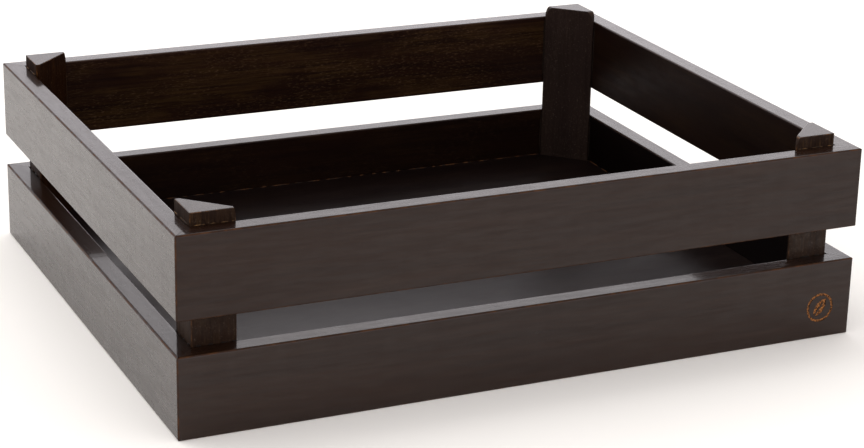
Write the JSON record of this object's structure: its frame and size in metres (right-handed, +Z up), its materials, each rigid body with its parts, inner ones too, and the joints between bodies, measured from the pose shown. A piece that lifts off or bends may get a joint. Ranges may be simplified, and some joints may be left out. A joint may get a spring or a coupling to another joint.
{
  "type": "wooden crate",
  "caption": "Low slatted wooden crate with corner posts whose tips stand proud, so that crates stack.",
  "frame": {"origin": "centre of the base, on the surface that the crate stands on", "axes": "+X along the long front to its right end, +Y from the front to the back, +Z up"},
  "size_m": [0.35, 0.29, 0.1025],
  "materials": {
    "slat_wood": "dark brown stain under satin lacquer",
    "post_wood": "dark brown stain under satin lacquer, coarse upright grain",
    "panel_wood": "dark brown stain under satin lacquer",
    "dowel_wood": "bare beech, hidden"
  },
  "bodies": {
    "root": {"lower_front_slat": "slat_wood", "lower_back_slat": "slat_wood", "lower_left_slat": "slat_wood", "lower_right_slat": "slat_wood", "upper_front_slat": "slat_wood", "upper_back_slat": "slat_wood", "upper_left_slat": "slat_wood", "upper_right_slat": "slat_wood", "front_left_post": "post_wood", "front_right_post": "post_wood", "back_left_post": "post_wood", "back_right_post": "post_wood", "floor_panel": "panel_wood", "front_left_dowels": "dowel_wood", "front_right_dowels": "dowel_wood", "back_left_dowels": "dowel_wood", "back_right_dowels": "dowel_wood"}
  },
  "joints": []
}
